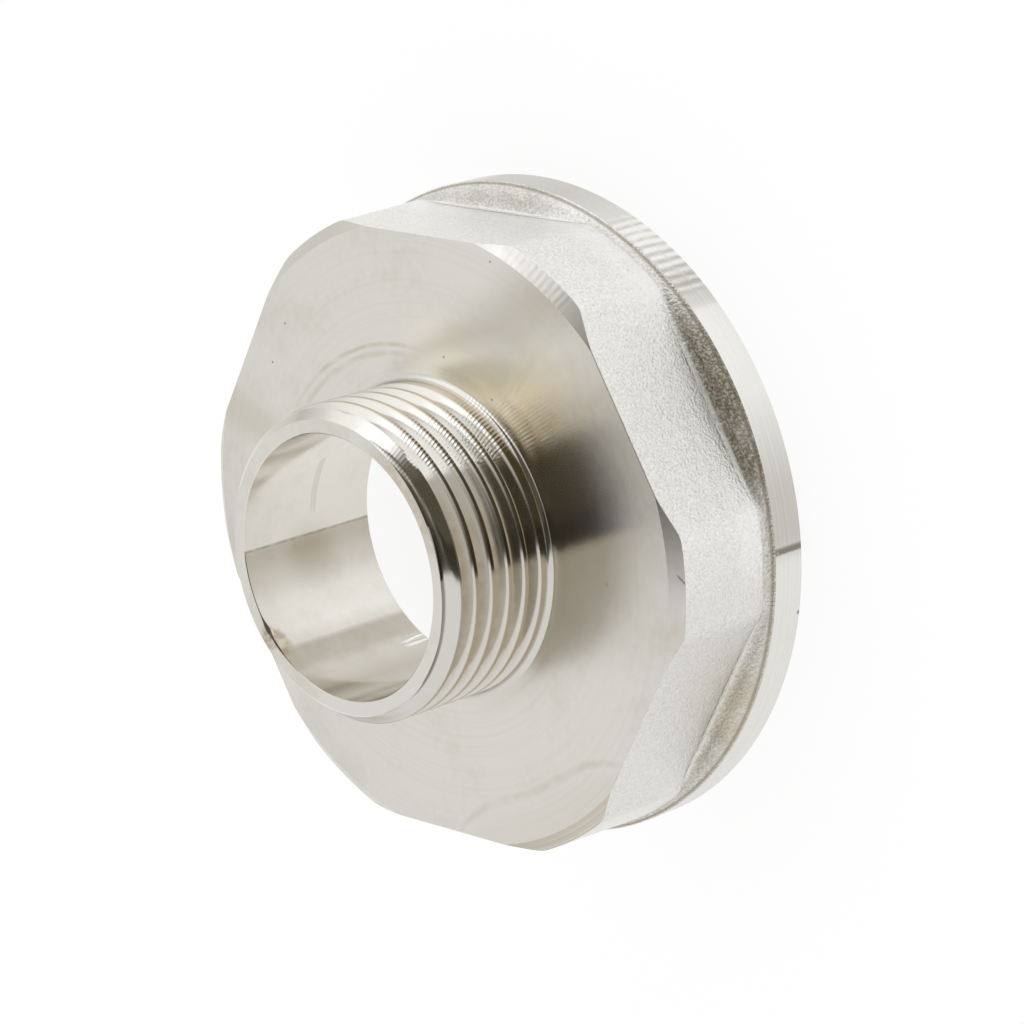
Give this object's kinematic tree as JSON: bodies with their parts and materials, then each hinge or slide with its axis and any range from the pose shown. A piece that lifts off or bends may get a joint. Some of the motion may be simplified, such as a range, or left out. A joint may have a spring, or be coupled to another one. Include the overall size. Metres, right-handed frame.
{
  "type": "reducing pipe adapter",
  "caption": "Male-to-female reducing pipe adapter: round collar, drafted hexagon for a wrench, threaded spigot in front and a wider threaded socket behind.",
  "frame": {"origin": "on the axis, in the plane of the collar's rear face, on which the adapter stands", "axes": "+Z along the pipe axis, from the collar towards the threaded spigot; +X square to one flat of the hexagon"},
  "size_m": [0.07, 0.07, 0.0315],
  "materials": {
    "nickel_plated_brass": "nickel plated: turned faces satin, forged faces blasted"
  },
  "bodies": {
    "root": {"adapter_body": "nickel_plated_brass"}
  },
  "joints": []
}
